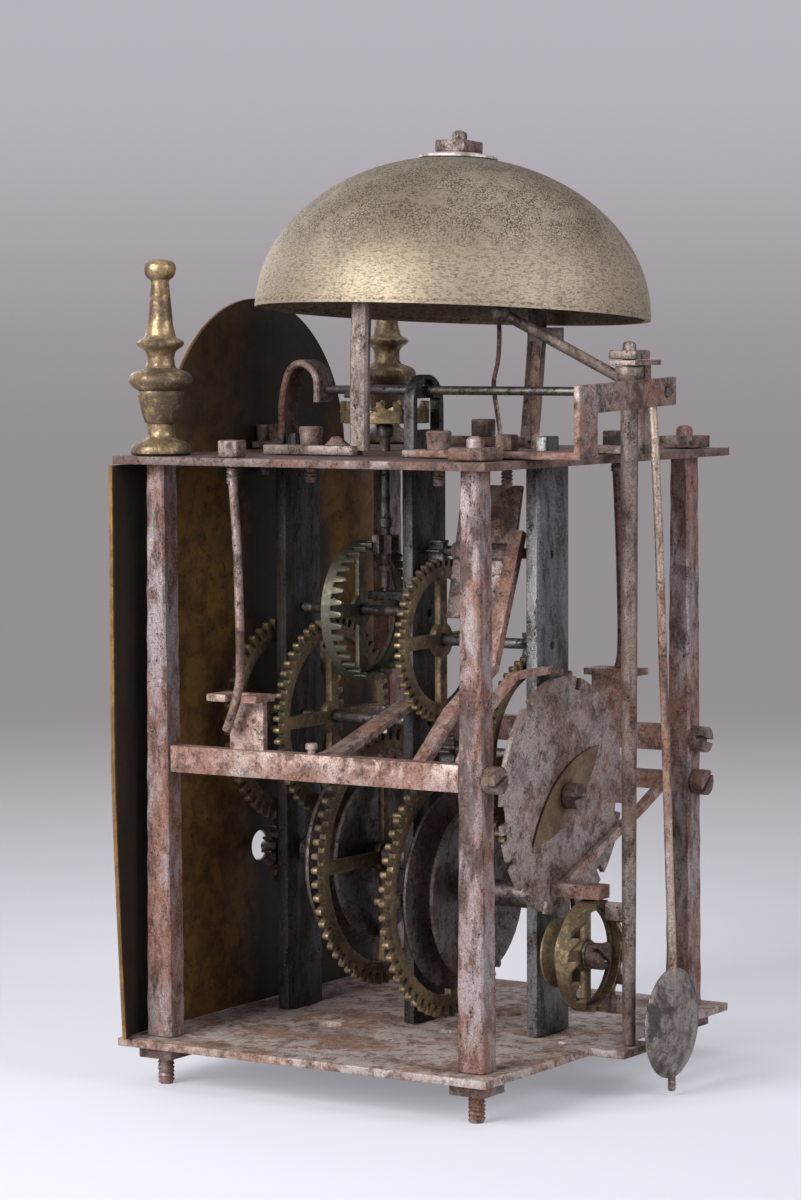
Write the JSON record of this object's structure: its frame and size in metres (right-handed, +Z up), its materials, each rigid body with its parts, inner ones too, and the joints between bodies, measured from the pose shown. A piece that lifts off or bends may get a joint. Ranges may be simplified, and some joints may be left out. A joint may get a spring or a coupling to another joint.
{
  "type": "lantern clock",
  "caption": "Lantern clock with an iron plate-and-post frame, brass wheel trains, verge and short pendulum, alarm, bell on an arched stand and a one-handed arched dial.",
  "frame": {"origin": "centre of the bottom plate's underside, on the end face of the middle bar's tenon, which is flush with it", "axes": "+Z up, the dial faces -Y, the pendulum hangs at +Y, +X is the side with the detent arbor"},
  "size_m": [0.16, 0.1649, 0.2996],
  "materials": {
    "rusty_iron": "rusted wrought iron, pitted",
    "dark_iron": "dark oxidised iron",
    "worn_steel": "worn, filed, spotted with rust",
    "aged_brass": "old cast brass with a dark patina",
    "green_brass": "cast brass with a green-grey patina",
    "bell_metal": "turned bell bronze, mottled and pitted",
    "silvered_brass": "silvered, worn"
  },
  "bodies": {
    "frame": {"bottom_plate": "rusty_iron", "top_plate": "rusty_iron", "post_front_right": "rusty_iron", "post_nut_front_right": "rusty_iron", "finial_right": "aged_brass", "post_rear_right": "rusty_iron", "post_nut_rear_right": "rusty_iron", "top_nut_right": "rusty_iron", "post_front_left": "rusty_iron", "post_nut_front_left": "rusty_iron", "finial_left": "aged_brass", "post_rear_left": "rusty_iron", "post_nut_rear_left": "rusty_iron", "top_nut_left": "rusty_iron", "bar_front": "dark_iron", "bar_middle": "dark_iron", "bar_rear": "worn_steel", "front_cock": "dark_iron", "rear_cock": "rusty_iron", "dial_plate": "aged_brass", "chapter_ring": "silvered_brass", "count_wheel_spring": "aged_brass", "count_wheel_screw": "rusty_iron", "detent_pivot_screw": "dark_iron", "hammer_pivot_screw": "dark_iron", "alarm_pivot_screw": "dark_iron", "detent_spring": "dark_iron", "hammer_spring": "dark_iron", "bell_stand": "rusty_iron", "bell": "bell_metal", "bell_nut": "rusty_iron", "alarm_wheel_screw": "rusty_iron", "alarm_bracket": "rusty_iron"},
    "going_great": {"going_great_wheel": "aged_brass", "going_great_arbor": "dark_iron"},
    "going_second": {"going_second_wheel": "aged_brass", "going_second_arbor": "worn_steel"},
    "contrate": {"contrate_wheel": "green_brass", "contrate_arbor": "worn_steel"},
    "crown": {"crown_wheel": "aged_brass", "crown_arbor": "worn_steel"},
    "hour": {"hour_wheel": "aged_brass", "hour_hand": "dark_iron"},
    "verge_and_pendulum": {"verge": "worn_steel", "pendulum_rod": "rusty_iron", "pendulum_bob": "worn_steel"},
    "strike_great": {"strike_great_wheel": "aged_brass", "strike_great_arbor": "dark_iron"},
    "strike_second": {"strike_second_wheel": "aged_brass", "strike_second_arbor": "worn_steel"},
    "strike_third": {"strike_third_wheel": "aged_brass", "strike_third_arbor": "worn_steel"},
    "fly": {"fly_arbor": "worn_steel", "fly_vane": "rusty_iron"},
    "count": {"count_wheel": "rusty_iron"},
    "detent": {"detent_arbor": "rusty_iron"},
    "hammer": {"hammer_arbor": "rusty_iron"},
    "alarm_stop": {"alarm_detent": "rusty_iron"},
    "alarm_crown": {"alarm_wheel": "aged_brass"},
    "alarm_hammer": {"alarm_verge": "rusty_iron"}
  },
  "joints": [
    {"name": "going_great_spin", "type": "hinge", "parent": "frame", "child": "going_great", "pos_m": [0, -0.01701, 0.05434], "axis": [0, 1, 0], "continuous": true},
    {"name": "going_second_spin", "type": "hinge", "parent": "frame", "child": "going_second", "pos_m": [0, -0.03701, 0.09862], "axis": [0, 1, 0], "continuous": true},
    {"name": "contrate_spin", "type": "hinge", "parent": "frame", "child": "contrate", "pos_m": [0, -0.022, 0.13372], "axis": [0, 1, 0], "continuous": true},
    {"name": "crown_spin", "type": "hinge", "parent": "frame", "child": "crown", "pos_m": [0, -0.0163, 0.195], "axis": [0, 0, 1], "continuous": true},
    {"name": "hour_spin", "type": "hinge", "parent": "frame", "child": "hour", "pos_m": [0, -0.0555, 0.09736], "axis": [0, 1, 0], "continuous": true},
    {"name": "strike_great_spin", "type": "hinge", "parent": "frame", "child": "strike_great", "pos_m": [0, 0.008, 0.04579], "axis": [0, 1, 0], "continuous": true},
    {"name": "strike_second_spin", "type": "hinge", "parent": "frame", "child": "strike_second", "pos_m": [0, 0.03961, 0.09007], "axis": [0, 1, 0], "continuous": true},
    {"name": "strike_third_spin", "type": "hinge", "parent": "frame", "child": "strike_third", "pos_m": [0, 0.00458, 0.12517], "axis": [0, 1, 0], "continuous": true},
    {"name": "fly_spin", "type": "hinge", "parent": "frame", "child": "fly", "pos_m": [0, 0.02, 0.15366], "axis": [0, 1, 0], "continuous": true},
    {"name": "count_spin", "type": "hinge", "parent": "frame", "child": "count", "pos_m": [0, 0.0489, 0.07819], "axis": [0, 1, 0], "continuous": true},
    {"name": "pendulum_swing", "type": "hinge", "parent": "frame", "child": "verge_and_pendulum", "pos_m": [0, 0, 0.2045], "axis": [0, 1, 0], "range_deg": [-10, 10]},
    {"name": "detent_lift", "type": "hinge", "parent": "frame", "child": "detent", "pos_m": [0.0653, 0, 0.09052], "axis": [0, 1, 0], "range_deg": [0, 8], "stiffness_Nm_per_rad": 0.2, "springref_deg": -17.19},
    {"name": "hammer_draw", "type": "hinge", "parent": "frame", "child": "hammer", "pos_m": [-0.0653, 0, 0.09052], "axis": [0, 1, 0], "range_deg": [0, 8], "stiffness_Nm_per_rad": 0.3, "springref_deg": -17.19},
    {"name": "alarm_stop_lift", "type": "hinge", "parent": "frame", "child": "alarm_stop", "pos_m": [-0.0653, 0, 0.07648], "axis": [0, 1, 0], "range_deg": [-8, 0]},
    {"name": "alarm_wheel_spin", "type": "hinge", "parent": "frame", "child": "alarm_crown", "pos_m": [0.0055, 0.0598, 0.0295], "axis": [0, 1, 0], "continuous": true},
    {"name": "alarm_hammer_swing", "type": "hinge", "parent": "frame", "child": "alarm_hammer", "pos_m": [0.0055, 0.076, 0.1], "axis": [0, 0, 1], "range_deg": [-12, 12]}
  ],
  "couplings": [
    {"joint": "going_second_spin", "follows": "going_great_spin", "ratio": -9.3333},
    {"joint": "contrate_spin", "follows": "going_great_spin", "ratio": 84},
    {"joint": "crown_spin", "follows": "going_great_spin", "ratio": 504},
    {"joint": "hour_spin", "follows": "going_great_spin", "ratio": -0.33333},
    {"joint": "strike_second_spin", "follows": "strike_great_spin", "ratio": -9.3333},
    {"joint": "strike_third_spin", "follows": "strike_great_spin", "ratio": 84},
    {"joint": "fly_spin", "follows": "strike_great_spin", "ratio": -672},
    {"joint": "count_spin", "follows": "strike_great_spin", "ratio": -0.10256}
  ]
}
